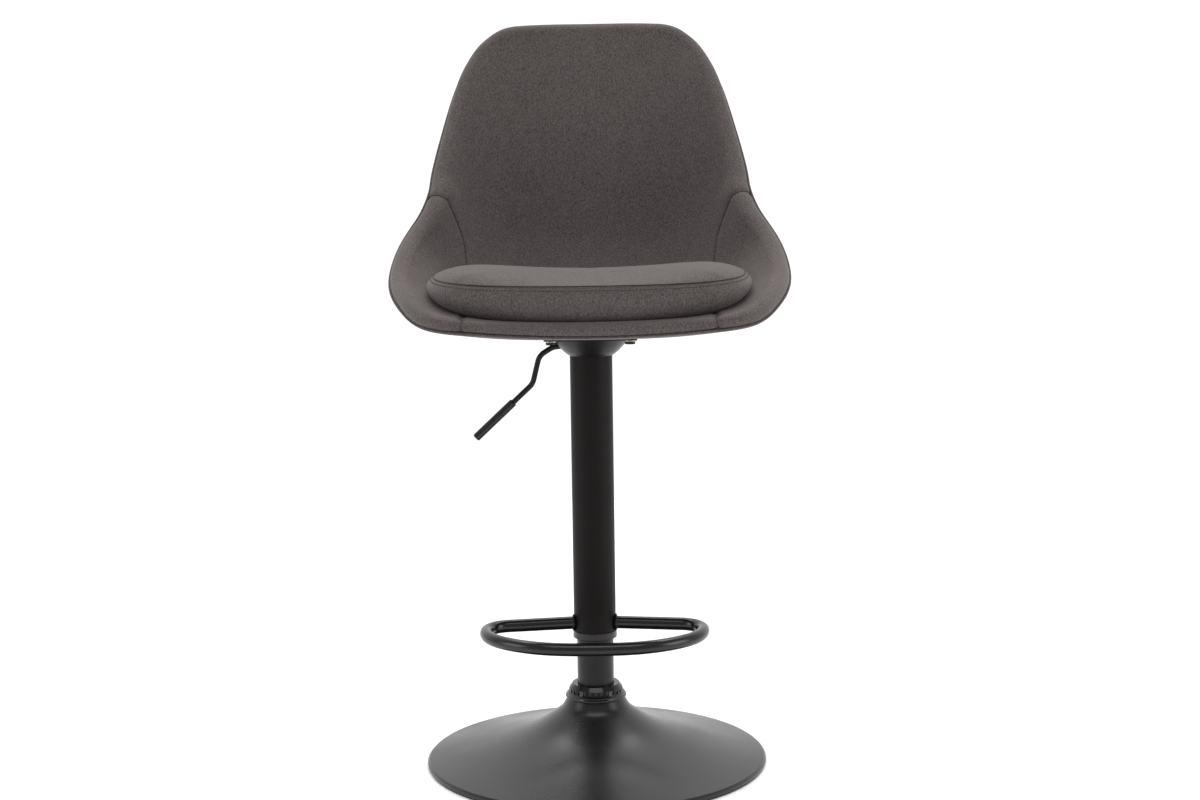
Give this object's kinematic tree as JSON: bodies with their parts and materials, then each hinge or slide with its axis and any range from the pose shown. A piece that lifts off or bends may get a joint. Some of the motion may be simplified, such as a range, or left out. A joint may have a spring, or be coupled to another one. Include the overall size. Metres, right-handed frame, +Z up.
{
  "type": "adjustable swivel stool",
  "caption": "Swivel bar stool: upholstered bucket seat with a loose cushion on a gas-lift column, D-shaped foot ring, side lever and round trumpet base.",
  "frame": {"origin": "on the floor, on the axis of the column", "axes": "+Z up the column, the seat faces -Y, the lever stands out at -X"},
  "size_m": [0.4682, 0.4761, 0.8935],
  "materials": {
    "black_steel": "satin powder coat",
    "rubber": "matte",
    "cast_iron": "raw casting",
    "black_plastic": "moulded, semi-gloss",
    "bright_steel": "ground",
    "black_oxide_steel": "black oxide",
    "grey_fabric": "woven melange",
    "shell_plastic": "moulded"
  },
  "bodies": {
    "base": {"trumpet_base": "black_steel", "floor_ring": "rubber", "ballast_disc": "cast_iron", "base_socket": "black_steel", "base_collar": "black_plastic", "lower_tube": "black_steel", "guide_bush": "black_plastic", "rod_seat": "bright_steel", "lower_race": "bright_steel"},
    "piston": {"bearing_cage": "black_plastic", "bearing_balls": "bright_steel", "piston_rod": "bright_steel", "piston_head": "bright_steel", "rod_clip": "bright_steel", "upper_race": "bright_steel", "rubber_buffer": "rubber"},
    "carriage": {"gas_cylinder": "bright_steel", "rod_gland": "bright_steel", "valve_block": "bright_steel", "sleeve_tube": "black_steel", "column_hub": "bright_steel", "sleeve_bush": "black_plastic", "footrest_ring": "black_steel", "footrest_welds": "black_steel", "seat_cup": "black_steel", "seat_plate": "black_steel", "plate_washers": "bright_steel", "plate_bolts": "black_oxide_steel", "plate_spacers": "black_plastic", "pivot_pin": "bright_steel", "pivot_bracket": "black_steel", "back_pad": "grey_fabric", "wing_pad_right": "grey_fabric", "wing_pad_left": "grey_fabric", "front_pad": "grey_fabric", "pan_pad": "grey_fabric", "seat_shell": "shell_plastic", "rear_cover": "grey_fabric", "threaded_inserts": "bright_steel", "seat_cushion": "grey_fabric"},
    "lever": {"lever_rod": "black_steel", "lever_grip": "black_plastic", "lever_block": "black_steel"},
    "release": {"release_pin": "bright_steel"}
  },
  "joints": [
    {"name": "seat_swivel", "type": "hinge", "parent": "base", "child": "piston", "pos_m": [0, 0, 0], "axis": [0, 0, 1], "continuous": true},
    {"name": "height_lift", "type": "slide", "parent": "piston", "child": "carriage", "axis": [0, 0, 1], "range_m": [-0.04, 0.17]},
    {"name": "lever_lift", "type": "hinge", "parent": "carriage", "child": "lever", "pos_m": [-0.024, 0, 0.5165], "axis": [0, 1, 0], "range_deg": [0, 8], "stiffness_Nm_per_rad": 2, "springref_deg": -11.46},
    {"name": "release_push", "type": "slide", "parent": "carriage", "child": "release", "axis": [0, 0, -1], "range_m": [0, 0.0039]}
  ],
  "couplings": [
    {"joint": "release_push", "follows": "lever_lift", "m_per_rad": 0.0265}
  ]
}
